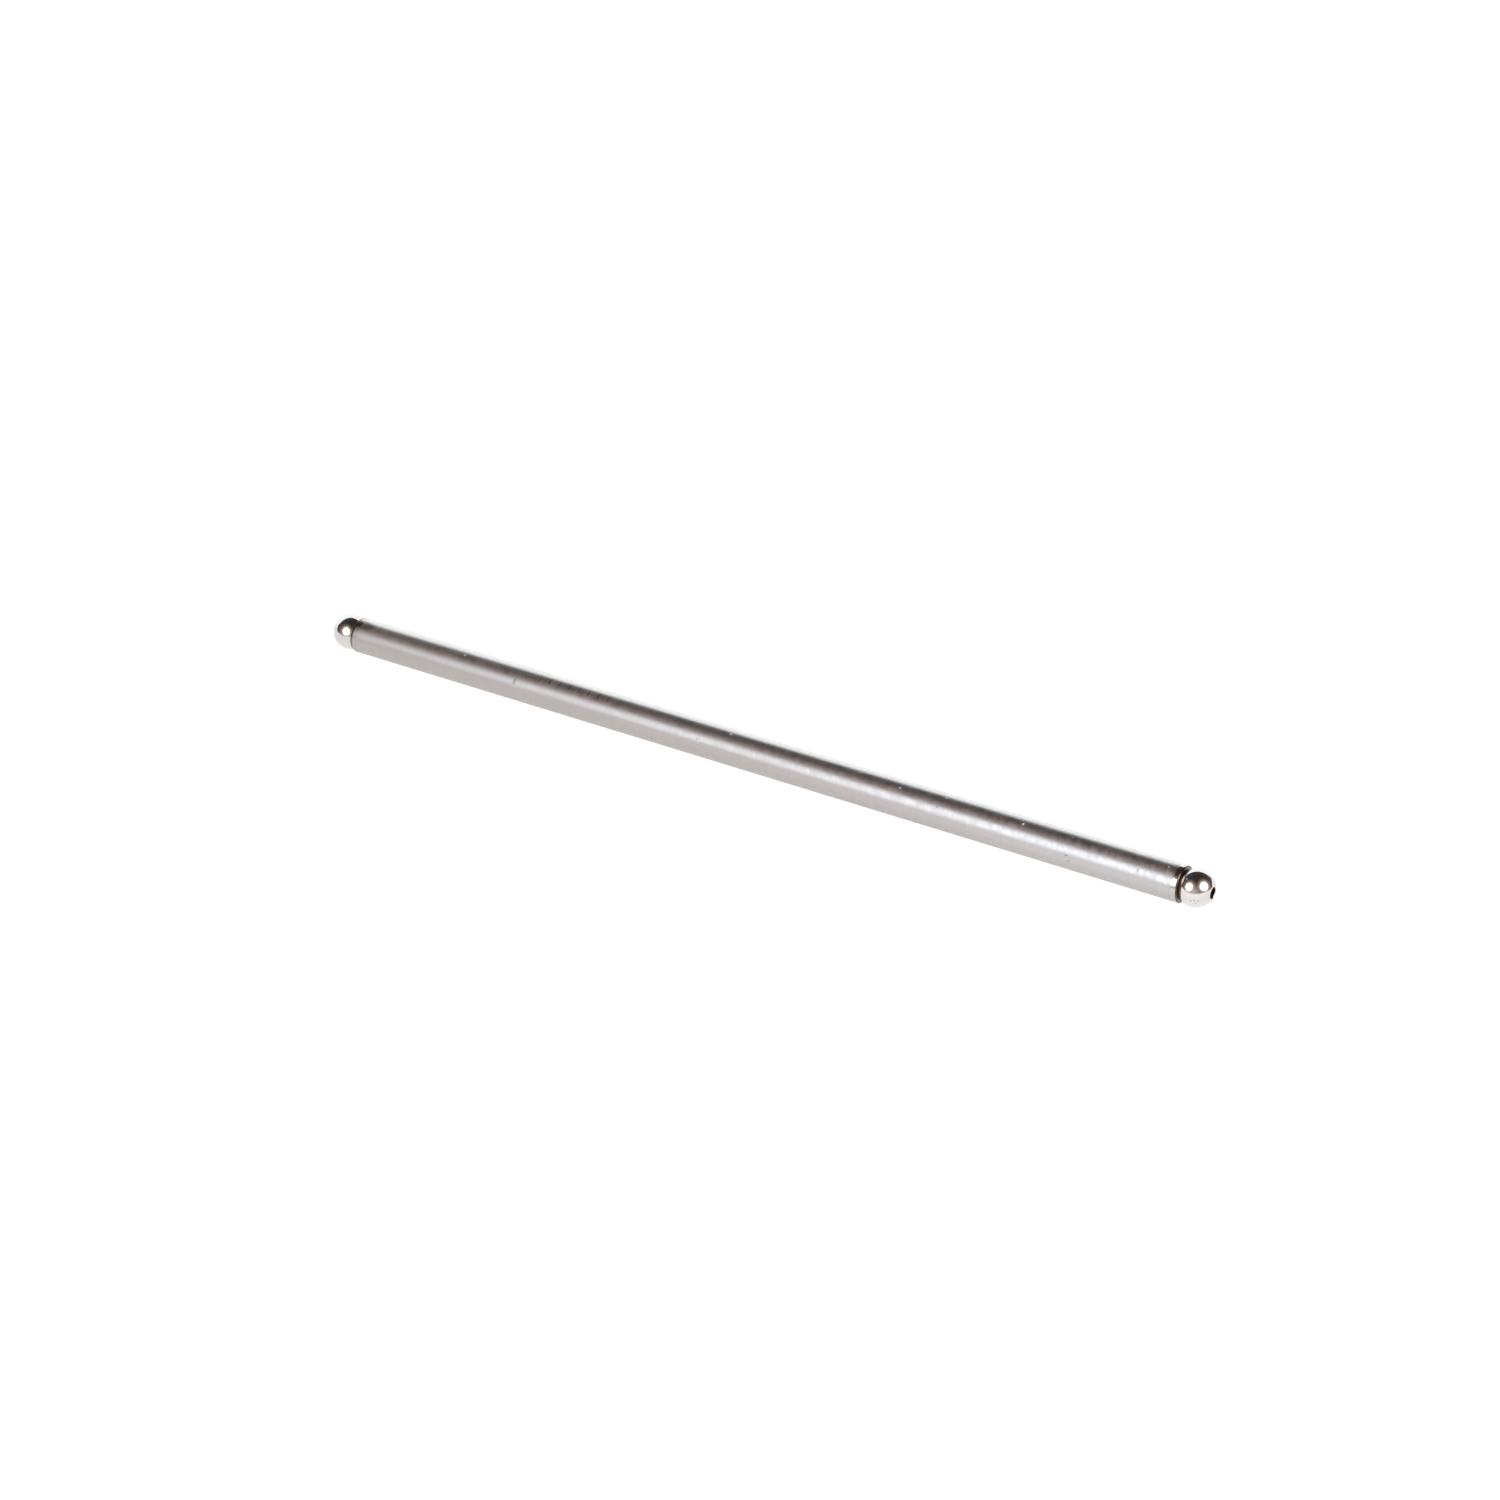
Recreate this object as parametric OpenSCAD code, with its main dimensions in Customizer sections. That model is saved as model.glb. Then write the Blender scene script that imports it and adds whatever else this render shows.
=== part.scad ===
// Engine pushrod: a ground steel tube with a polished, oil-drilled ball end welded into each end.
// The rod lies along X with its middle at the origin. The rocker end is at +X. Sizes are in millimetres.

/* [Rod] */
// Length over the two drilled ball ends
rod_len = 223.5; // [120:0.5:300]

/* [Tube] */
// Outside diameter of the tube
tube_od = 7.94; // [6.8:0.02:12]
// Bore of the tube
tube_bore = 4.64; // [3.2:0.02:5.6]
// Radius on the outer edge of each end of the tube
tube_edge_r = 0.3; // [0.1:0.05:0.6]
// Countersink at each mouth of the tube's bore
bore_lead = 0.25; // [0.1:0.05:0.5]

/* [Ball ends] */
// Diameter of the ball
ball_d = 7.94; // [6.6:0.02:12]
// Width of the ring on which the ball end's shoulder seats on the tube
seat_w = 0.53; // [0.2:0.01:0.8]
// Length of the neck between the ball and the tube's end face
neck_len = 0.2; // [0.1:0.05:2]
// Length of the shank inside the tube
shank_len = 8; // [3:0.5:20]
// Radial gap between the shank and the tube's bore
shank_gap = 0.02; // [0.01:0.01:0.1]
// Chamfer on the nose of the shank
shank_lead = 0.4; // [0.1:0.05:0.6]

/* [Oil passage] */
// Diameter of the oil hole through each ball end
oil_d = 2.4; // [0.8:0.1:2.8]
// Countersink at the mouth of the oil hole
oil_lead = 0.15; // [0.05:0.05:0.4]

/* [Hidden] */
$fn = 96;
tube_r = tube_od / 2;
bore_r = tube_bore / 2;
ball_r = ball_d / 2;
oil_r = oil_d / 2;
neck_r = bore_r + bore_lead + seat_w;
shank_r = bore_r - shank_gap;
// Along the rod from a ball's centre: back to the neck, back to the tube's end face, and out to the oil hole's rim
ball_back = sqrt(pow(ball_r, 2) - pow(neck_r, 2));
seat_back = ball_back + neck_len;
rim_out = sqrt(pow(ball_r, 2) - pow(oil_r + oil_lead, 2));
ball_x = rod_len / 2 - rim_out;
tube_half = ball_x - seat_back;
// How far a cutting shape runs past the solid
overrun = 1;

// Half section of the tube: radius across, length up
module tube_section() {
    edge_in = tube_r - tube_edge_r;
    edge_up = tube_half - tube_edge_r;
    polygon([
        [bore_r, -tube_half + bore_lead],
        [bore_r + bore_lead, -tube_half],
        [edge_in, -tube_half],
        [tube_r, -edge_up],
        [tube_r, edge_up],
        [edge_in, tube_half],
        [bore_r + bore_lead, tube_half],
        [bore_r, tube_half - bore_lead]
    ]);
    for (end = [-1, 1])
        translate([edge_in, end * edge_up]) circle(r = tube_edge_r);
}

// Half section of the ball, cut flat at the shoulder
module ball_section() {
    intersection() {
        circle(r = ball_r);
        translate([0, -seat_back]) square([ball_d, ball_d + seat_back]);
    }
}

// Half section of the neck and the shank that fills the tube's bore
module stem_section() {
    shank_end = seat_back + shank_len;
    translate([0, -seat_back]) square([neck_r, seat_back]);
    polygon([
        [0, -shank_end],
        [shank_r - shank_lead, -shank_end],
        [shank_r, -shank_end + shank_lead],
        [shank_r, -seat_back],
        [0, -seat_back]
    ]);
}

// Half section of the oil hole, with its countersunk mouth at the top of the ball
module oil_section() {
    shank_end = seat_back + shank_len;
    translate([0, -shank_end - overrun]) square([oil_r, shank_end + ball_r + 2 * overrun]);
    polygon([
        [0, rim_out - oil_lead],
        [oil_r, rim_out - oil_lead],
        [oil_r + oil_lead + overrun, rim_out + overrun],
        [0, rim_out + overrun]
    ]);
}

// A ball end standing on its shank, with the ball's centre at the origin
module ball_end() {
    rotate_extrude()
        difference() {
            union() {
                ball_section();
                stem_section();
            }
            oil_section();
        }
}

module tube() {
    color("silver")
        rotate([0, 90, 0])
            rotate_extrude() tube_section();
}

module rocker_ball_end() {
    color("gainsboro")
        translate([ball_x, 0, 0])
            rotate([0, 90, 0]) ball_end();
}

module lifter_ball_end() {
    color("gainsboro")
        translate([-ball_x, 0, 0])
            rotate([0, -90, 0]) ball_end();
}

tube();
rocker_ball_end();
lifter_ball_end();
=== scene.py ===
"""Engine pushrod: a satin ground steel tube with a mirror-polished, oil-drilled ball end in each end.

The rod lies along X on a white floor. Sizes below are in millimetres and become metres where they are used.
Angles are in degrees. A pair of numbers is a start and an end, unless its comment says otherwise.
"""

import math

import bpy
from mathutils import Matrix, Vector


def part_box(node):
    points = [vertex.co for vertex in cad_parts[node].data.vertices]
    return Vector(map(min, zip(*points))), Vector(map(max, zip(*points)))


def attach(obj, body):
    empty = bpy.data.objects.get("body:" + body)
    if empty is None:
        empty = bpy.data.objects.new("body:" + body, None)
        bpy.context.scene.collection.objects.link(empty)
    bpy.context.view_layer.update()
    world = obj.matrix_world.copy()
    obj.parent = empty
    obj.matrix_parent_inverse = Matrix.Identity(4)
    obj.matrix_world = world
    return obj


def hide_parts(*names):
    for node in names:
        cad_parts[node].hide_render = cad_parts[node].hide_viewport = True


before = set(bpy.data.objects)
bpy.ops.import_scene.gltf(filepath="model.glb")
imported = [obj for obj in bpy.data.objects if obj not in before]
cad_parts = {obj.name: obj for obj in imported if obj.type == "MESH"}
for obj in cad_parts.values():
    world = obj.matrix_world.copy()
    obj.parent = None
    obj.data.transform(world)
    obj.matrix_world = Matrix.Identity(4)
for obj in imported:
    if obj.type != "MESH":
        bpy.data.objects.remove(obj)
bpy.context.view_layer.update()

MM = 0.001

# Sizes from the frame
tube_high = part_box("tube")[1]
ball_low, ball_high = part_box("rocker_ball_end")
TUBE_HALF = tube_high[0] / MM
TUBE_R = tube_high[2] / MM
BALL_R = ball_high[2] / MM
ROD_HALF = ball_high[0] / MM
SHANK_NOSE = ball_low[0] / MM

# Sizes of the turned details
BORE_R = 2.32
BORE_LEAD = 0.25
TUBE_EDGE_R = 0.3
NECK_R = 3.10
SHANK_R = 2.30
SHANK_LEAD = 0.4
OIL_R = 1.2
OIL_LEAD = 0.15
EDGE_BREAK = 0.03

# Places along the rod
RIM_R = OIL_R + OIL_LEAD
BALL_X = ROD_HALF - math.sqrt(BALL_R ** 2 - RIM_R ** 2)
NECK_X = BALL_X - math.sqrt(BALL_R ** 2 - NECK_R ** 2)

# Mesh fineness
LATHE_SIDES = 224
LONGEST_STEP = 3.0
BALL_STEPS = 88
CORNER_STEPS = 6
SMOOTH_ANGLE = 28

# Camera: the photograph's view
CAMERA_AZIMUTH = 33.116
CAMERA_ELEVATION = 27.655
CAMERA_DISTANCE = 838.15
CAMERA_RIGHT = 0.51
CAMERA_UP = 0.45
CAMERA_LENS = 93.62
SENSOR_WIDTH = 36.0

# Floor: its glow as a background, and the loss of glow that reflections see: a painted shadow close to the
# rod, painted shade and light on the open floor in front, darker to the left and brighter to the right, and
# a loss past the paper's front edge. A loss below 0 is a gain.
FLOOR_RADIUS = 9000.0
FLOOR_SIDES = 64
GLOW_AWAY = (120.0, 420.0)
GLOW_STRENGTH = (0.92, 1.0)
SHADOW_COLOUR = (0.25, 0.245, 0.24)
PAPER_COLOUR = (0.9, 0.9, 0.9)
PAPER_EDGE = 40.0
PAPER_EDGE_BLUR = 6.0
PAST_EDGE_LOSS = 0.55
# Painted shade and light on the open floor in front, and a painted shadow of the rod, seen only in
# reflections.
OPEN_ALONG = (-100.0, 80.0)
OPEN_LOSS = (0.13, -0.08)
ROD_SHADOW_ACROSS = (-18.0, -5.0)
ROD_SHADOW_LOSS = 0.13

# Dim room over the table. Ways are (turn, lift) from the camera. Spans are cosines of the angle from them.
HOOD_RADIUS = 5000.0
HOOD_ROWS = 24
HOOD_COLUMNS = 96
ROOM_LIFT = (0.1, 0.98)
ROOM_LOW = (0.119, 0.086, 0.076)
ROOM_OVERHEAD = (0.046, 0.031, 0.027)
FRONT_WAY = (-13, 4)
FRONT_SPAN = (0.60, 1.0)
FRONT_COLOUR = (0.184, 0.157, 0.162)
FRONT_CORE_SPAN = (0.90, 1.0)
FRONT_CORE_COLOUR = (0.455, 0.417, 0.433)
CORNER_WAY = (-144, 46)
CORNER_SPAN = (0.90, 0.99)
CORNER_COLOUR = (0.032, 0.059, 0.082)

# White card behind the rod: on its left it fades towards its top
CARD_DISTANCE = 256.0
CARD_TOP = 226.0
CARD_LEFT = dict(shoulder=-240.0, elbow=-430.0, wing_tip=-860.0, wing_rise=70.0, tip_rise=0.0)
CARD_RIGHT = dict(shoulder=110.0, elbow=410.0, wing_tip=1300.0, wing_rise=64.0, tip_rise=130.0)
CARD_STEPS = 24
CARD_COLOUR = (0.92, 0.965, 1.0)
CARD_RADIANCE = 1.3
CARD_FADED = 0.27
CARD_FADE_FROM = 150.0
CARD_FADE_ACROSS = (-90.0, 0.0)

# Lamps: discs of (radius, radiance)
DISC_GAP = 2.0
LIGHT_COLOUR = (0.78, 0.90, 1.0)
HALO_COLOUR = (1.0, 0.80, 0.70)
HALO = ((270.0, 0.2), (350.0, 0.17), (500.0, 0.06))
LEFT_LIGHT = dict(place=(-92.0, -389.0, 192.0), discs=((190.0, 2.9),))
RIGHT_LIGHT = dict(place=(456.0, -66.0, 228.0), discs=((112.0, 7.4), (190.0, 3.7)))

# Noise on the steel, with its frequency per millimetre along each axis
GRIND_NOISE = dict(stretch=(1.6, 0.03, 0.03), detail=5.0, rough=0.7)
FINE_NOISE = dict(stretch=(7.0, 0.12, 0.12), detail=2.0)
PATCH_NOISE = dict(stretch=(0.05, 0.22, 0.22), detail=2.0)
STAIN_NOISE = dict(stretch=(3.1, 0.2, 0.2), detail=3.0)
GRAIN_NOISE = dict(stretch=(1.5, 0.5, 0.5), detail=3.0, rough=0.6)
SMUDGE_NOISE = dict(stretch=(0.5, 0.5, 0.5), detail=3.0)
POLISH_NOISE = dict(stretch=(3.0, 3.0, 3.0), detail=2.0)
GRAIN_SPAN = (0.3, 0.7)

# Ground skin of the tube. Facing is 0 towards the front and 90 on top. SMOOTH_TOP is in sines of the facing.
TUBE_STEEL = ((0.555, 0.52, 0.50), (0.525, 0.49, 0.47))
TUBE_ROUGHNESS = (0.40, 0.53)
TUBE_ANISOTROPY = 0.5
GRIND_TURN = 0.25
GRIND_DEPTH = 0.006
FINE_SHARE = 0.4
STAIN_SPAN = (0.5, 0.75)
STAIN_AMOUNT = 0.5
STAIN_COLOUR = (0.52, 0.46, 0.44)
# Painted highlight: the skin is painted paler towards the right end, more on the front and top than
# underneath.
RIGHT_ALONG = (-10.0, 100.0)
RIGHT_FACING = (-40, 5)
RIGHT_UNDERSIDE = 0.3
RIGHT_HIGHLIGHT_COLOUR = (0.60, 0.575, 0.565)
# Painted highlight: a paler strip painted along the top of the tube.
TOP_FRONT = (72, 85)
TOP_BACK = (140, 170)
TOP_HIGHLIGHT_COLOUR = (0.79, 0.755, 0.73)
SMOOTH_TOP = (0.78, 0.97)
SMOOTH_TOP_AMOUNT = 0.1
# Painted reflection: a warm brown band, broken up by the grain, where the tube reflects the dim room.
BROWN_FACING = 61
BROWN_HALF = 23
BROWN_SHARE = (0.7, 1.0)
BROWN_REFLECTION_COLOUR = (0.68, 0.525, 0.45)

# Ends of the tube, by distance from the end face. Edge pairs are (left, right), face colours are
# (inner, outer), and an arc is (place, half width).
RIGHT_BURNISH = (0.7, 1.6)
LEFT_BURNISH = (0.0, 1.4)
LEFT_BURNISH_AMOUNT = 0.8
BURNISH_ROUGHNESS = 0.14
END_ARCS = ((0.65, 0.14), (1.45, 0.12))
ARC_AMOUNT = 0.45
ARC_COLOUR = (0.38, 0.26, 0.18)
HALVES_BLEND = 1.0
# Painted shade: the rounded edges at both ends of the tube are painted dark.
EDGE_START = 0.08
EDGE_REACH = (0.36, 0.24)
EDGE_SHADE_COLOURS = ((0.07, 0.042, 0.03), (0.022, 0.019, 0.024))
FACE_REACH = (0.01, 0.06)
FACE_COLOURS = ((0.20, 0.12, 0.08), (0.26, 0.21, 0.17))
FACE_ROUGHNESS = 0.30
# Painted shade on the left end: on top, down the seam, and in a dark patch with a fainter fringe.
LEFT_END_SHADE_COLOUR = (0.04, 0.037, 0.027)
LEFT_END_SHADE_AMOUNT = 0.9
SHADE_TOP_FACING = 76
SHADE_TOP_HALF = 25
SHADE_TOP_REACH = (0.3, 1.4)
SHADE_SEAM_FACING = (-42, 4)
SHADE_SEAM_REACH = (0.25, 0.8)

# Wear on the tube: (place along the rod, facing, half length, half width round the tube)
SKIN_PER_DEGREE = math.radians(1) * TUBE_R
SPOT_CORE = 0.55
# Nicks are real wear, rougher than the skin, and painted pale as a painted glint.
NICK_AND_GLINT_COLOUR = (0.88, 0.86, 0.85)
NICK_ROUGHNESS = 0.75
DULL_COLOUR = (0.29, 0.27, 0.27)
DULL_AMOUNT = 0.75
BRIGHT_NICKS = [
    (-74.5, 69, 0.30, 0.34),
    (-3.5, 74, 0.38, 0.42),
    (29.0, 76, 0.20, 0.22),
    (39.2, 64, 0.30, 0.34),
    (50.0, 78, 0.28, 0.32),
    (66.7, 83, 0.90, 0.22),
    (68.7, 67, 0.32, 0.42),
    (80.1, 73, 0.34, 0.10),
    (102.2, 71, 0.20, 0.24),
]
DULL_MARKS = [
    (-59.5, 32, 0.50, 1.00),
    (-57.0, 55, 0.14, 0.40),
    (-22.4, -22, 0.40, 0.34),
    (-10.7, 25, 0.20, 0.34),
    (-9.7, 16, 0.16, 0.34),
    (49.0, 39, 0.20, 0.34),
    (80.1, 13, 0.60, 0.20),
    (80.7, -4, 0.44, 0.20),
    (96.3, 33, 0.20, 0.46),
    (96.6, 51, 0.16, 0.34),
]
# Painted shade: a dark patch on the left end of the tube, and a fainter fringe round it.
END_SHADE_PATCH = (-105.0, 69, 2.4, 1.4)
END_SHADE_FRINGE = (-104.0, 70, 5.0, 1.7)
FRINGE_AMOUNT = 0.45

# Etched row of plain bars
ETCH_COUNT = 8
ETCH_START = -53.5
ETCH_PITCH = 2.6
ETCH_FACING = 66
ETCH_HALF_LENGTH = 0.2
ETCH_HALF_WIDTH = 1.2
ETCH_COLOUR = (0.30, 0.19, 0.12)
ETCH_AMOUNT = 0.8

# Polished balls. Reaches are distances from the neck and from the wall of the oil hole.
BALL_STEEL = ((0.775, 0.745, 0.72), (0.74, 0.71, 0.69))
BALL_ROUGHNESS = (0.09, 0.13)
SMUDGE_SPAN = (0.3, 0.8)
POLISH_DEPTH = 0.0001
STRAW_REACH = (0.1, 1.0)
STRAW_AMOUNT = 0.5
STRAW_COLOUR = (0.72, 0.60, 0.44)
# Painted shade: the ball is painted dark just past the neck, in the groove against the tube.
NECK_REACH = (0.06, 0.16)
NECK_SHADE_COLOUR = (0.12, 0.07, 0.04)
NECK_ROUGHNESS = 0.4
LEAD_BLUR = 0.03
LEAD_ROUGHNESS = 0.4
# Painted shade: the wall of the oil hole is painted dark.
HOLE_REACH = (0.01, 0.05)
HOLE_SHADE_COLOUR = (0.13, 0.08, 0.055)
HOLE_ROUGHNESS = 0.45

# Pits in the rocker ball and a small glint on it, as directions from its centre
BALL_PITS = [
    (0.16, -0.96, -0.24),
    (0.34, -0.92, -0.17),
    (0.41, -0.85, -0.34),
    (0.52, -0.83, -0.19),
]
BALL_GLINT = (-0.28, -0.62, 0.74)
PIT_R = 0.19
PIT_COLOUR = (0.33, 0.31, 0.30)
PIT_AMOUNT = 0.9
PIT_ROUGHNESS = 0.5
PIT_DEPTH = 20.0
GLINT_R = PIT_R * 1.3


class Graph:
    """Short calls that add nodes to one node tree."""

    def __init__(self, tree):
        self.tree = tree
        tree.nodes.clear()

    def put(self, socket, value):
        """Links a socket to another node's output, or sets its own value."""
        if isinstance(value, bpy.types.NodeSocket):
            self.tree.links.new(value, socket)
        elif isinstance(value, (tuple, list)) and len(value) == 3 and socket.type == "RGBA":
            socket.default_value = (*value, 1.0)
        else:
            socket.default_value = value

    def add(self, kind, settings=None, values=None):
        """A node with its settings and its input values, by name or by index."""
        made = self.tree.nodes.new(kind)
        for name, value in (settings or {}).items():
            setattr(made, name, value)
        for key, value in (values or {}).items():
            self.put(made.inputs[key], value)
        return made

    def math(self, operation, first, second=0.0):
        return self.add("ShaderNodeMath", {"operation": operation}, {0: first, 1: second}).outputs[0]

    def times(self, first, second):
        return self.math("MULTIPLY", first, second)

    def vector(self, operation, first, second=(0.0, 0.0, 0.0)):
        made = self.add("ShaderNodeVectorMath", {"operation": operation}, {0: first, 1: second})
        return made.outputs["Value" if operation in ("LENGTH", "DOT_PRODUCT") else "Vector"]

    def ramp(self, value, start, end, low=0.0, high=1.0):
        """A smooth step from low to high while value goes from start to end."""
        values = {"Value": value, 1: start, 2: end, 3: low, 4: high}
        return self.add("ShaderNodeMapRange", {"interpolation_type": "SMOOTHSTEP"}, values).outputs[0]

    def fade(self, value, start, end):
        """A smooth step from 1 down to 0 while value goes from start to end."""
        return self.ramp(value, start, end, 1.0, 0.0)

    def mix(self, amount, first, second):
        """From the first colour to the second."""
        settings = {"data_type": "RGBA", "clamp_factor": True}
        return self.add("ShaderNodeMix", settings, {0: amount, 6: first, 7: second}).outputs[2]

    def lerp(self, amount, first, second):
        """From the first number to the second."""
        settings = {"data_type": "FLOAT", "clamp_factor": True}
        return self.add("ShaderNodeMix", settings, {0: amount, 2: first, 3: second}).outputs[0]

    def noise(self, place, stretch, detail=3.0, rough=0.55):
        """Noise from 0 to 1, with its own frequency per millimetre along each axis."""
        scaled = self.vector("MULTIPLY", place, stretch)
        values = {"Vector": scaled, "Scale": 1.0, "Detail": detail, "Roughness": rough}
        return self.add("ShaderNodeTexNoise", {"noise_dimensions": "3D"}, values).outputs[0]

    def band(self, value, centre, half):
        """1 where value is at the centre, fading to 0 at half to either side."""
        off = self.math("ABSOLUTE", self.math("SUBTRACT", value, centre))
        return self.fade(off, 0.0, half)

    def spot(self, place, centre, half):
        """A soft-edged ellipse, or ellipsoid, of the given half sizes: 1 inside and 0 outside."""
        share = self.vector("DIVIDE", self.vector("SUBTRACT", place, centre), half)
        return self.fade(self.vector("LENGTH", share), SPOT_CORE, 1.0)

    def any_of(self, masks):
        """The largest of several masks."""
        largest = masks[0]
        for mask in masks[1:]:
            largest = self.math("MAXIMUM", largest, mask)
        return largest


def new_material(name):
    material = bpy.data.materials.new(name)
    material.use_nodes = True
    return material, Graph(material.node_tree)


# Meshes

def fillet(before, corner, after, size):
    """Points of the arc that rounds a corner, starting and ending size away from it."""
    corner = Vector(corner)
    to_before = (Vector(before) - corner).normalized()
    to_after = (Vector(after) - corner).normalized()
    half = to_before.angle(to_after) / 2
    centre = corner + (to_before + to_after).normalized() * (size / math.cos(half))
    start = corner + to_before * size - centre
    turn = start.angle_signed(corner + to_after * size - centre)
    points = []
    for step in range(CORNER_STEPS + 1):
        angle = -turn * step / CORNER_STEPS
        across = Vector((-start.y, start.x))
        points.append(tuple(centre + start * math.cos(angle) + across * math.sin(angle)))
    return points


def soften(corners):
    """A closed outline of (along, radius, rounding) corners as plain points."""
    points = []
    for index, (along, radius, rounding) in enumerate(corners):
        if rounding:
            before = corners[index - 1][:2]
            after = corners[(index + 1) % len(corners)][:2]
            points += fillet(before, (along, radius), after, rounding)
        else:
            points.append((along, radius))
    return points


def subdivide(points):
    """The closed outline with its long stretches cut into even steps."""
    cut = []
    for index, start in enumerate(points):
        end = points[(index + 1) % len(points)]
        pieces = max(1, math.ceil(math.dist(start, end) / LONGEST_STEP))
        for piece in range(pieces):
            share = piece / pieces
            cut.append(tuple(a + (b - a) * share for a, b in zip(start, end)))
    return cut


def lathe(name, outline, material):
    """A closed outline of (along, radius) points turned about X."""
    verts = []
    for along, radius in outline:
        for side in range(LATHE_SIDES):
            angle = 2 * math.pi * side / LATHE_SIDES
            verts.append((along * MM, radius * math.cos(angle) * MM, radius * math.sin(angle) * MM))
    faces = []
    rings = len(outline)
    for ring in range(rings):
        this_ring = ring * LATHE_SIDES
        next_ring = (ring + 1) % rings * LATHE_SIDES
        for side in range(LATHE_SIDES):
            beside = (side + 1) % LATHE_SIDES
            faces.append((this_ring + side, this_ring + beside, next_ring + beside, next_ring + side))
    mesh = bpy.data.meshes.new(name)
    mesh.from_pydata(verts, [], faces)
    mesh.validate()
    if outline_area(outline) < 0:
        mesh.flip_normals()
    mesh.shade_smooth()
    mesh.set_sharp_from_angle(angle=math.radians(SMOOTH_ANGLE))
    mesh.materials.append(material)
    piece = bpy.data.objects.new(name, mesh)
    bpy.context.scene.collection.objects.link(piece)
    return piece


def outline_area(outline):
    """The signed area of a closed outline, which tells which way round it runs."""
    total = 0.0
    for index, (along, radius) in enumerate(outline):
        next_along, next_radius = outline[(index + 1) % len(outline)]
        total += along * next_radius - next_along * radius
    return total / 2


def tube_outline():
    mouth_r = BORE_R + BORE_LEAD
    lead_x = TUBE_HALF - BORE_LEAD
    corners = [
        (-lead_x, BORE_R, EDGE_BREAK),
        (-TUBE_HALF, mouth_r, EDGE_BREAK),
        (-TUBE_HALF, TUBE_R, TUBE_EDGE_R),
        (TUBE_HALF, TUBE_R, TUBE_EDGE_R),
        (TUBE_HALF, mouth_r, EDGE_BREAK),
        (lead_x, BORE_R, EDGE_BREAK),
    ]
    return subdivide(soften(corners))


def ball_end_outline():
    """From the nose of the shank, along its outside, over the ball and back through the oil hole."""
    neck_angle = math.acos((NECK_X - BALL_X) / BALL_R)
    rim_angle = math.asin(RIM_R / BALL_R)
    lead_x = ROD_HALF - OIL_LEAD
    corners = [
        (SHANK_NOSE, OIL_R, EDGE_BREAK),
        (SHANK_NOSE, SHANK_R - SHANK_LEAD, EDGE_BREAK),
        (SHANK_NOSE + SHANK_LEAD, SHANK_R, EDGE_BREAK),
        (TUBE_HALF, SHANK_R, 0),
        (TUBE_HALF, NECK_R, EDGE_BREAK),
    ]
    for step in range(BALL_STEPS + 1):
        angle = neck_angle + (rim_angle - neck_angle) * step / BALL_STEPS
        corners.append((BALL_X + BALL_R * math.cos(angle), BALL_R * math.sin(angle), 0))
    corners.append((lead_x, OIL_R, EDGE_BREAK))
    return subdivide(soften(corners))


# Materials

def rod_places(graph):
    """The place on the rod: as a vector, along X, out from the axis, and its facing round the axis."""
    coords = graph.add("ShaderNodeTexCoord").outputs["Object"]
    place = graph.vector("MULTIPLY", coords, (1 / MM,) * 3)
    split = graph.add("ShaderNodeSeparateXYZ", values={0: place})
    along, across, up = split.outputs
    out = graph.vector("LENGTH", graph.vector("MULTIPLY", place, (0.0, 1.0, 1.0)))
    facing = graph.math("DEGREES", graph.math("ARCTAN2", up, graph.times(across, -1.0)))
    return place, along, out, facing


def steel_shader(graph, colour, roughness, normal, anisotropy):
    shader = graph.add("ShaderNodeBsdfPrincipled", values={
        "Base Color": colour, "Metallic": 1.0, "Roughness": roughness, "Normal": normal,
        "Anisotropic": anisotropy, "Anisotropic Rotation": GRIND_TURN,
    })
    tangent = graph.add("ShaderNodeTangent", {"direction_type": "RADIAL", "axis": "X"})
    graph.put(shader.inputs["Tangent"], tangent.outputs[0])
    output = graph.add("ShaderNodeOutputMaterial")
    graph.put(output.inputs["Surface"], shader.outputs[0])


def fine_bump(graph, depth, height):
    values = {"Strength": 1.0, "Distance": depth * MM, "Height": height}
    return graph.add("ShaderNodeBump", values=values).outputs[0]


def tube_spot(graph, skin, mark):
    """A mark on the tube's skin, from its place along the rod, its facing and its half sizes."""
    along, facing, half_length, half_width = mark
    return graph.spot(skin, (along, facing * SKIN_PER_DEGREE, 0.0), (half_length, half_width, 1.0))


def tube_spots(graph, skin, marks):
    return graph.any_of([tube_spot(graph, skin, mark) for mark in marks])


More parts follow.
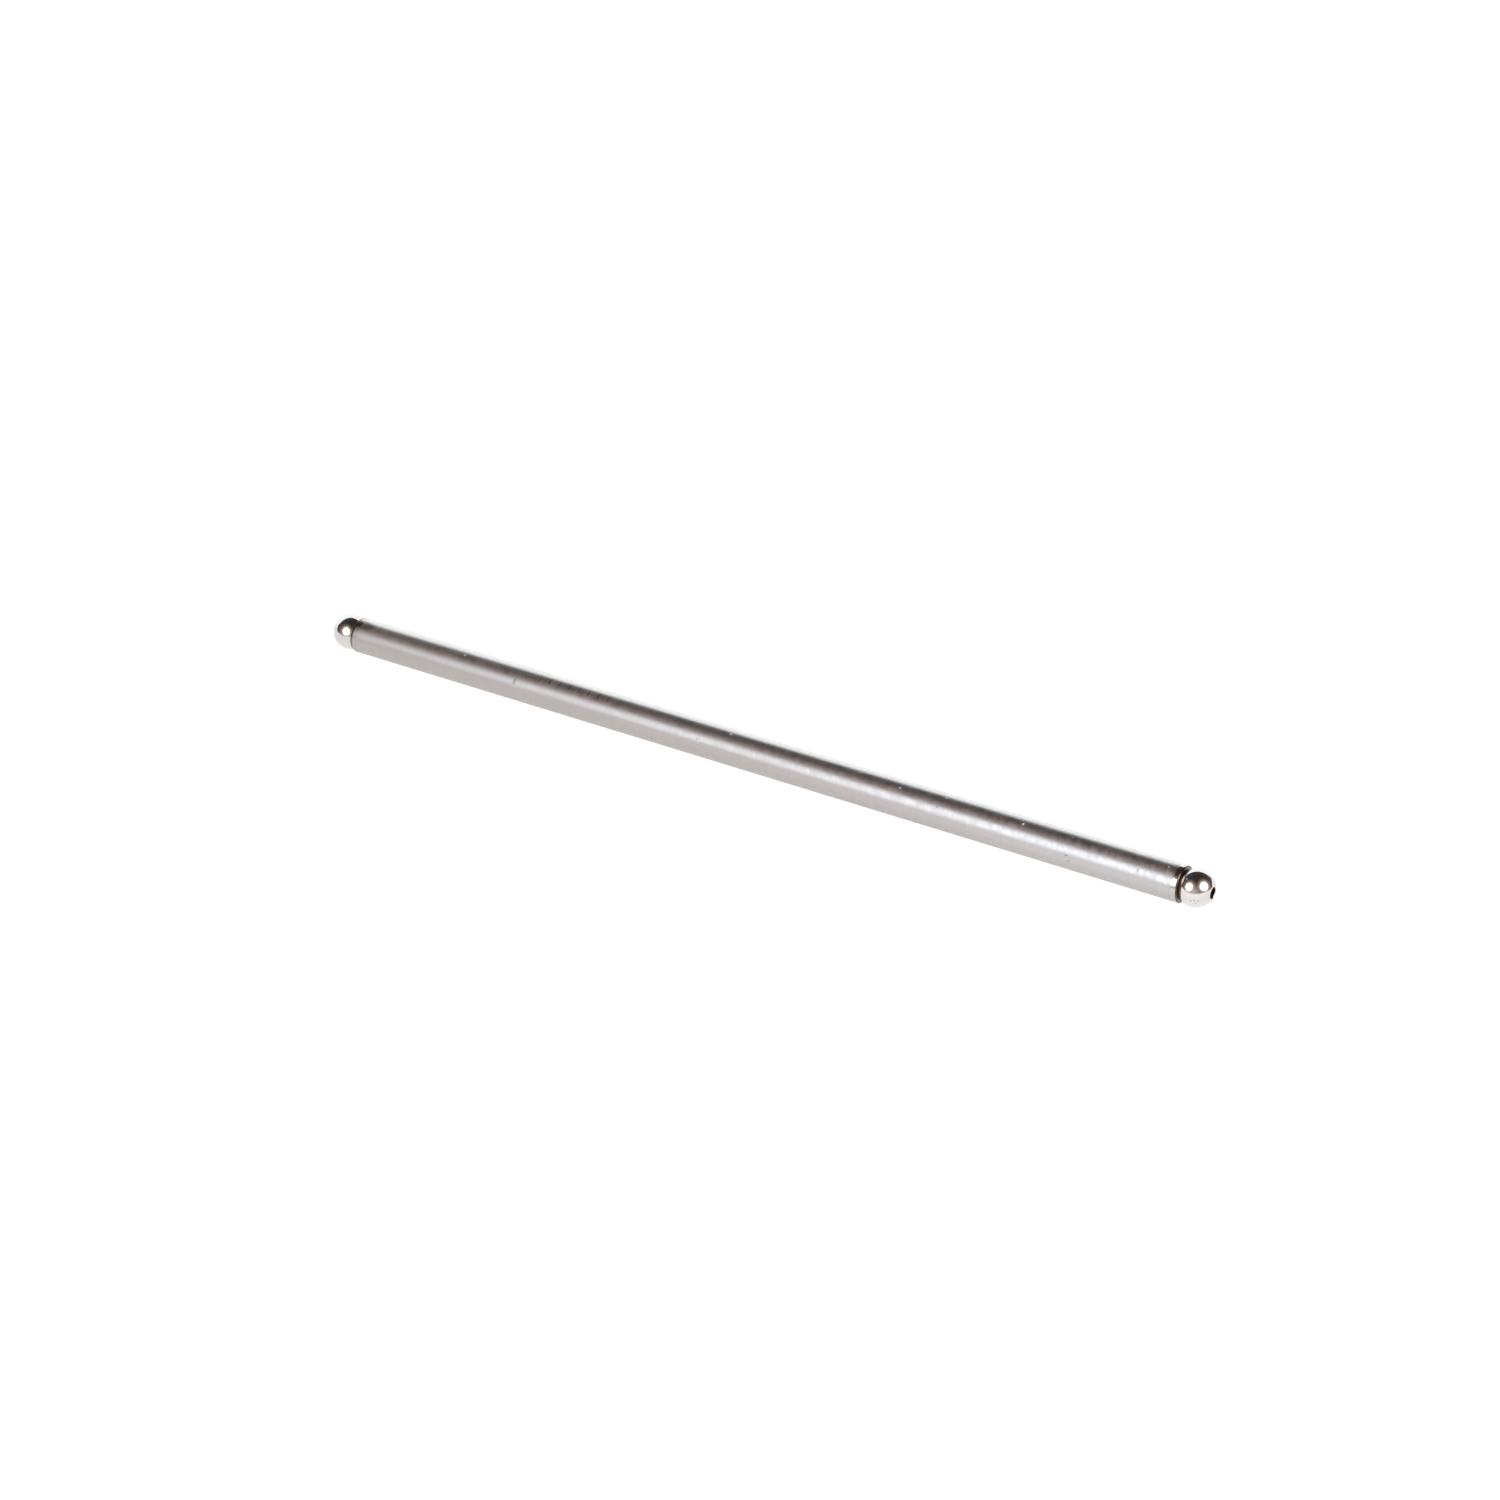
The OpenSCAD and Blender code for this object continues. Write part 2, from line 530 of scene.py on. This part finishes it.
def ground_skin(graph, place, along, facing):
    """Colour and roughness of the skin, with painted highlights that make it brighter on top and to the
    right, and a painted reflection tone that makes it browner on the upper front.
    """
    patch = graph.noise(place, **PATCH_NOISE)
    blotch = graph.noise(place, **STAIN_NOISE)
    grain = graph.noise(place, **GRAIN_NOISE)
    colour = graph.mix(patch, *TUBE_STEEL)
    colour = graph.mix(graph.ramp(blotch, *STAIN_SPAN, 0.0, STAIN_AMOUNT), colour, STAIN_COLOUR)
    # Painted highlight: paler towards the right front.
    fronting = graph.ramp(facing, *RIGHT_FACING, RIGHT_UNDERSIDE, 1.0)
    colour = graph.mix(graph.times(graph.ramp(along, *RIGHT_ALONG), fronting), colour, RIGHT_HIGHLIGHT_COLOUR)
    # Painted highlight along the top.
    top_highlight = graph.times(graph.ramp(facing, *TOP_FRONT), graph.fade(facing, *TOP_BACK))
    colour = graph.mix(top_highlight, colour, TOP_HIGHLIGHT_COLOUR)
    # Painted reflection: warm brown on the upper front.
    brown = graph.band(facing, BROWN_FACING, BROWN_HALF)
    brown = graph.times(brown, graph.ramp(grain, *GRAIN_SPAN, *BROWN_SHARE))
    colour = graph.mix(brown, colour, BROWN_REFLECTION_COLOUR)
    upward = graph.math("SINE", graph.math("RADIANS", facing))
    smoother = graph.ramp(upward, *SMOOTH_TOP, 0.0, SMOOTH_TOP_AMOUNT)
    roughness = graph.math("SUBTRACT", graph.ramp(grain, *GRAIN_SPAN, *TUBE_ROUGHNESS), smoother)
    return colour, roughness


def shop_wear(graph, skin, colour, roughness):
    """Dull marks, the etched bars and bright nicks over the skin, the nicks painted pale as a painted glint.
    """
    bars = []
    for bar in range(ETCH_COUNT):
        bars.append((ETCH_START + ETCH_PITCH * bar, ETCH_FACING, ETCH_HALF_LENGTH, ETCH_HALF_WIDTH))
    dull = tube_spots(graph, skin, DULL_MARKS)
    etch = tube_spots(graph, skin, bars)
    nicks = tube_spots(graph, skin, BRIGHT_NICKS)
    colour = graph.mix(graph.times(dull, DULL_AMOUNT), colour, DULL_COLOUR)
    colour = graph.mix(graph.times(etch, ETCH_AMOUNT), colour, ETCH_COLOUR)
    colour = graph.mix(nicks, colour, NICK_AND_GLINT_COLOUR)
    return colour, graph.lerp(nicks, roughness, NICK_ROUGHNESS)


def left_end_shade(graph, skin, left_end, facing):
    """Where painted shade lies on the left end: on top, down the seam, and in a dark patch with a fainter
    fringe round it.
    """
    top = graph.band(facing, SHADE_TOP_FACING, SHADE_TOP_HALF)
    top = graph.times(graph.fade(left_end, *SHADE_TOP_REACH), top)
    seam = graph.times(graph.fade(left_end, *SHADE_SEAM_REACH), graph.ramp(facing, *SHADE_SEAM_FACING))
    blotch = tube_spot(graph, skin, END_SHADE_PATCH)
    shade_fringe = graph.times(tube_spot(graph, skin, END_SHADE_FRINGE), FRINGE_AMOUNT)
    return graph.times(graph.any_of([top, seam, blotch, shade_fringe]), LEFT_END_SHADE_AMOUNT)


def tube_ends(graph, skin, along, out, facing, colour, roughness):
    """Burnished ends with heat arcs, painted shade on the left end, edges darkened with painted shade, and
    browned end faces.
    """
    right_end = graph.math("SUBTRACT", TUBE_HALF, along)
    left_end = graph.math("ADD", TUBE_HALF, along)
    from_end = graph.math("MINIMUM", right_end, left_end)
    left_burnish = graph.ramp(left_end, *LEFT_BURNISH, LEFT_BURNISH_AMOUNT, 0.0)
    burnished = graph.any_of([graph.fade(right_end, *RIGHT_BURNISH), left_burnish])
    roughness = graph.lerp(burnished, roughness, BURNISH_ROUGHNESS)
    arcs = graph.any_of([graph.band(from_end, *arc) for arc in END_ARCS])
    colour = graph.mix(graph.times(arcs, ARC_AMOUNT), colour, ARC_COLOUR)
    # Painted shade on the left end.
    colour = graph.mix(left_end_shade(graph, skin, left_end, facing), colour, LEFT_END_SHADE_COLOUR)
    # Painted shade on the rounded edges at both ends.
    on_right = graph.ramp(along, -HALVES_BLEND, HALVES_BLEND)
    on_edge = graph.fade(from_end, EDGE_START, graph.lerp(on_right, *EDGE_REACH))
    colour = graph.mix(on_edge, colour, graph.mix(on_right, *EDGE_SHADE_COLOURS))
    face_tint = graph.mix(graph.ramp(out, NECK_R, TUBE_R - TUBE_EDGE_R), *FACE_COLOURS)
    on_face = graph.fade(from_end, *FACE_REACH)
    colour = graph.mix(on_face, colour, face_tint)
    return colour, graph.lerp(on_face, roughness, FACE_ROUGHNESS)


def tube_material():
    """Centreless-ground steel: rings of fine grinding, burnished ends, heat colours and shop wear, with
    painted highlights, a painted reflection tone and painted shade in its colour.
    """
    material, graph = new_material("ground_tube_steel")
    place, along, out, facing = rod_places(graph)
    around = graph.times(facing, SKIN_PER_DEGREE)
    skin = graph.add("ShaderNodeCombineXYZ", values={0: along, 1: around}).outputs[0]
    colour, roughness = ground_skin(graph, place, along, facing)
    colour, roughness = shop_wear(graph, skin, colour, roughness)
    colour, roughness = tube_ends(graph, skin, along, out, facing, colour, roughness)
    grind = graph.noise(place, **GRIND_NOISE)
    fine = graph.times(graph.noise(place, **FINE_NOISE), FINE_SHARE)
    bump = fine_bump(graph, GRIND_DEPTH, graph.math("ADD", grind, fine))
    steel_shader(graph, colour, roughness, bump, TUBE_ANISOTROPY)
    return material


def ball_spot(graph, place, direction, radius):
    """A round spot on the rocker ball, in a direction from its centre."""
    centre = Vector((BALL_X, 0.0, 0.0)) + Vector(direction).normalized() * BALL_R
    return graph.spot(place, tuple(centre), (radius,) * 3)


def ball_material():
    """Mirror-polished bearing steel with a heat-coloured neck, painted shade in the neck groove, a few pits
    and a drilled oil hole darkened with painted shade.
    """
    material, graph = new_material("polished_ball_steel")
    place, along, out, _ = rod_places(graph)
    smudge = graph.noise(place, **SMUDGE_NOISE)
    colour = graph.mix(smudge, *BALL_STEEL)
    roughness = graph.ramp(smudge, *SMUDGE_SPAN, *BALL_ROUGHNESS)

    pits = graph.any_of([ball_spot(graph, place, pit, PIT_R) for pit in BALL_PITS])
    glint = ball_spot(graph, place, BALL_GLINT, GLINT_R)
    colour = graph.mix(graph.times(pits, PIT_AMOUNT), colour, PIT_COLOUR)
    roughness = graph.lerp(graph.any_of([pits, glint]), roughness, PIT_ROUGHNESS)

    beyond_neck = graph.math("SUBTRACT", graph.math("ABSOLUTE", along), NECK_X)
    straw = graph.ramp(beyond_neck, *STRAW_REACH, STRAW_AMOUNT, 0.0)
    colour = graph.mix(straw, colour, STRAW_COLOUR)
    # Painted shade in the neck groove.
    neck_shade = graph.fade(beyond_neck, *NECK_REACH)
    colour = graph.mix(neck_shade, colour, NECK_SHADE_COLOUR)
    roughness = graph.lerp(neck_shade, roughness, NECK_ROUGHNESS)

    in_lead = graph.fade(out, RIM_R - LEAD_BLUR, RIM_R)
    roughness = graph.lerp(in_lead, roughness, LEAD_ROUGHNESS)
    # Painted shade inside the oil hole.
    in_hole = graph.fade(graph.math("SUBTRACT", out, OIL_R), *HOLE_REACH)
    colour = graph.mix(in_hole, colour, HOLE_SHADE_COLOUR)
    roughness = graph.lerp(in_hole, roughness, HOLE_ROUGHNESS)
    polish = graph.noise(place, **POLISH_NOISE)
    bump = fine_bump(graph, POLISH_DEPTH, graph.math("SUBTRACT", polish, graph.times(pits, PIT_DEPTH)))
    steel_shader(graph, colour, roughness, bump, 0.0)
    return material


# Pieces

def build_rod():
    tube = lathe("satin_tube", tube_outline(), tube_material())
    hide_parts("tube")
    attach(tube, "root")
    polished = ball_material()
    outline = ball_end_outline()
    for end, sign in (("rocker", 1), ("lifter", -1)):
        turned = [(sign * along, radius) for along, radius in outline]
        ball = lathe(end + "_ball", turned, polished)
        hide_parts(end + "_ball_end")
        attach(ball, "root")


# Studio

def view_axes():
    """The horizontal far direction of the camera, its right, its up and its backward direction."""
    azimuth = math.radians(CAMERA_AZIMUTH)
    elevation = math.radians(CAMERA_ELEVATION)
    sin_a, cos_a = math.sin(azimuth), math.cos(azimuth)
    sin_e, cos_e = math.sin(elevation), math.cos(elevation)
    far = Vector((-sin_a, cos_a, 0.0))
    right = Vector((cos_a, sin_a, 0.0))
    back = Vector((sin_a * cos_e, -cos_a * cos_e, sin_e))
    return far, right, back.cross(right), back


def build_camera():
    _, right, up, back = view_axes()
    data = bpy.data.cameras.new("camera")
    data.lens = CAMERA_LENS
    data.sensor_width = SENSOR_WIDTH
    camera = bpy.data.objects.new("camera", data)
    camera.location = (back * CAMERA_DISTANCE + right * CAMERA_RIGHT + up * CAMERA_UP) * MM
    camera.rotation_mode = "QUATERNION"
    camera.rotation_quaternion = (-back).to_track_quat("-Z", "Y")
    bpy.context.scene.collection.objects.link(camera)
    bpy.context.scene.camera = camera


def build_light(name, place, discs):
    """A round softbox with a faint warm halo: discs of (radius, radiance), each a little behind the last."""
    outward = Vector(place).normalized()
    for index, (radius, radiance) in enumerate(discs + HALO):
        data = bpy.data.lights.new(name, "AREA")
        data.shape = "DISK"
        data.size = 2 * radius * MM
        data.energy = radiance * math.pi * math.pi * (radius * MM) ** 2
        data.color = LIGHT_COLOUR if index < len(discs) else HALO_COLOUR
        light = bpy.data.objects.new(name, data)
        light.location = (Vector(place) + outward * index * DISC_GAP) * MM
        light.rotation_mode = "QUATERNION"
        light.rotation_quaternion = (-outward).to_track_quat("-Z", "Y")
        light.visible_camera = False
        bpy.context.scene.collection.objects.link(light)


def stage_object(name, verts, faces, material):
    mesh = bpy.data.meshes.new(name)
    mesh.from_pydata(verts, [], faces)
    mesh.materials.append(material)
    made = bpy.data.objects.new(name, mesh)
    bpy.context.scene.collection.objects.link(made)
    return made


def floor_material():
    """White paper. What sees it as a background sees it near full white, with the rod's shadow.

    Reflections see it dimmer close to the rod, by a painted shadow, dimmer on the open floor in front
    towards the left and brighter towards the right, by painted shade and light, and dimmer still past the
    paper's front edge.
    """
    material, graph = new_material("white_floor")
    rays = graph.add("ShaderNodeLightPath").outputs
    seen = graph.any_of([rays["Is Camera Ray"], rays["Is Glossy Ray"], rays["Is Transmission Ray"]])
    coords = graph.add("ShaderNodeTexCoord").outputs["Object"]
    place = graph.vector("MULTIPLY", coords, (1 / MM,) * 3)
    along, across, _ = graph.add("ShaderNodeSeparateXYZ", values={0: place}).outputs
    strength = graph.ramp(graph.vector("LENGTH", place), *GLOW_AWAY, *GLOW_STRENGTH)
    edge = (-PAPER_EDGE - PAPER_EDGE_BLUR, -PAPER_EDGE + PAPER_EDGE_BLUR)
    past_edge = graph.ramp(across, *edge, PAST_EDGE_LOSS, 0.0)
    # Painted shade and light on the open floor, and a painted shadow close to the rod, for reflections only.
    open_loss = graph.ramp(along, *OPEN_ALONG, *OPEN_LOSS)
    near_loss = graph.ramp(across, *ROD_SHADOW_ACROSS, open_loss, ROD_SHADOW_LOSS)
    loss = graph.times(graph.any_of([past_edge, near_loss]), rays["Is Glossy Ray"])
    strength = graph.times(strength, graph.math("SUBTRACT", 1.0, loss))
    glow = graph.add("ShaderNodeEmission", values={"Color": (1.0, 1.0, 1.0), "Strength": strength})
    soft = graph.add("ShaderNodeBsdfDiffuse", values={"Color": SHADOW_COLOUR})
    both = graph.add("ShaderNodeAddShader", values={0: glow.outputs[0], 1: soft.outputs[0]})
    paper = graph.add("ShaderNodeBsdfDiffuse", values={"Color": PAPER_COLOUR})
    mixed = graph.add("ShaderNodeMixShader", values={0: seen, 1: paper.outputs[0], 2: both.outputs[0]})
    output = graph.add("ShaderNodeOutputMaterial")
    graph.put(output.inputs["Surface"], mixed.outputs[0])
    return material


def build_floor():
    radius = FLOOR_RADIUS * MM
    verts = []
    for side in range(FLOOR_SIDES):
        angle = 2 * math.pi * side / FLOOR_SIDES
        verts.append((math.cos(angle) * radius, math.sin(angle) * radius, -TUBE_R * MM))
    stage_object("floor", verts, [tuple(range(FLOOR_SIDES))], floor_material())


def room_direction(turn, lift):
    """A direction in the room, turned and lifted from the level way back to the camera."""
    far, right, _, _ = view_axes()
    turn = math.radians(turn)
    lift = math.radians(lift)
    level = right * math.sin(turn) - far * math.cos(turn)
    return tuple(level * math.cos(lift) + Vector((0.0, 0.0, math.sin(lift))))


def glow_material(name):
    """A material that only shines: its graph and the emission node to set."""
    material, graph = new_material(name)
    glow = graph.add("ShaderNodeEmission", values={"Color": (1.0, 1.0, 1.0), "Strength": 1.0})
    output = graph.add("ShaderNodeOutputMaterial")
    graph.put(output.inputs["Surface"], glow.outputs[0])
    return material, graph, glow


def hood_material():
    """The dim room over the table: brown, darker overhead, paler low in front, bluish at the far left."""
    material, graph, glow = glow_material("dim_room")
    coords = graph.add("ShaderNodeTexCoord").outputs["Object"]
    toward = graph.vector("NORMALIZE", coords)
    lift = graph.add("ShaderNodeSeparateXYZ", values={0: toward}).outputs[2]
    colour = graph.mix(graph.ramp(lift, *ROOM_LIFT), ROOM_LOW, ROOM_OVERHEAD)
    front = graph.vector("DOT_PRODUCT", toward, room_direction(*FRONT_WAY))
    colour = graph.mix(graph.ramp(front, *FRONT_SPAN), colour, FRONT_COLOUR)
    colour = graph.mix(graph.ramp(front, *FRONT_CORE_SPAN), colour, FRONT_CORE_COLOUR)
    corner = graph.vector("DOT_PRODUCT", toward, room_direction(*CORNER_WAY))
    colour = graph.mix(graph.ramp(corner, *CORNER_SPAN), colour, CORNER_COLOUR)
    graph.put(glow.inputs["Color"], colour)
    material.cycles.emission_sampling = "NONE"
    return material


def build_hood():
    """The dim room as a dome. The camera looks through it."""
    verts = []
    for row in range(HOOD_ROWS + 1):
        lift = math.pi / 2 * row / HOOD_ROWS
        for column in range(HOOD_COLUMNS):
            turn = 2 * math.pi * column / HOOD_COLUMNS
            level = Vector((math.cos(turn), math.sin(turn), 0.0)) * math.cos(lift)
            verts.append(tuple((level + Vector((0.0, 0.0, math.sin(lift)))) * HOOD_RADIUS * MM))
    faces = []
    for row in range(HOOD_ROWS):
        for column in range(HOOD_COLUMNS):
            first = row * HOOD_COLUMNS + column
            beside = row * HOOD_COLUMNS + (column + 1) % HOOD_COLUMNS
            faces.append((first, beside, beside + HOOD_COLUMNS, first + HOOD_COLUMNS))
    hood = stage_object("hood", verts, faces, hood_material())
    hood.visible_camera = False


def card_side(shoulder, elbow, wing_tip, wing_rise, tip_rise):
    """One side of the card's outline from its shoulder outward: a round shoulder, then a low wing."""
    points = []
    for step in range(CARD_STEPS + 1):
        angle = math.pi / 2 * step / CARD_STEPS
        across = shoulder + (elbow - shoulder) * math.sin(angle)
        points.append((across, wing_rise + (CARD_TOP - wing_rise) * math.cos(angle)))
    return points + [(wing_tip, tip_rise), (wing_tip, -TUBE_R)]


def card_material(right):
    """White, and on its left fading towards its top."""
    material, graph, glow = glow_material("white_card")
    coords = graph.add("ShaderNodeTexCoord").outputs["Object"]
    place = graph.vector("MULTIPLY", coords, (1 / MM,) * 3)
    height = graph.add("ShaderNodeSeparateXYZ", values={0: place}).outputs[2]
    fading = graph.ramp(height, CARD_FADE_FROM, CARD_TOP, CARD_RADIANCE, CARD_FADED)
    rightward = graph.ramp(graph.vector("DOT_PRODUCT", place, tuple(right)), *CARD_FADE_ACROSS)
    graph.put(glow.inputs["Color"], CARD_COLOUR)
    graph.put(glow.inputs["Strength"], graph.lerp(rightward, fading, CARD_RADIANCE))
    return material


def build_card():
    """A white card standing close behind the rod. Only reflections see it."""
    far, right, _, _ = view_axes()
    outline = card_side(**CARD_LEFT)[::-1] + card_side(**CARD_RIGHT)
    verts = []
    for across, rise in outline:
        verts.append(tuple((far * CARD_DISTANCE + right * across + Vector((0.0, 0.0, rise))) * MM))
    card = stage_object("back_card", verts, [tuple(range(len(verts)))], card_material(right))
    card.visible_camera = False
    card.visible_diffuse = False
    card.visible_shadow = False


def build_world():
    world = bpy.data.worlds.new("white_surround")
    world.use_nodes = True
    background = world.node_tree.nodes["Background"]
    background.inputs["Color"].default_value = (1.0, 1.0, 1.0, 1.0)
    background.inputs["Strength"].default_value = 1.0
    bpy.context.scene.world = world


build_camera()
build_rod()
build_floor()
build_hood()
build_card()
build_world()
build_light("left_light", **LEFT_LIGHT)
build_light("right_light", **RIGHT_LIGHT)
bpy.context.scene.view_settings.view_transform = "Standard"
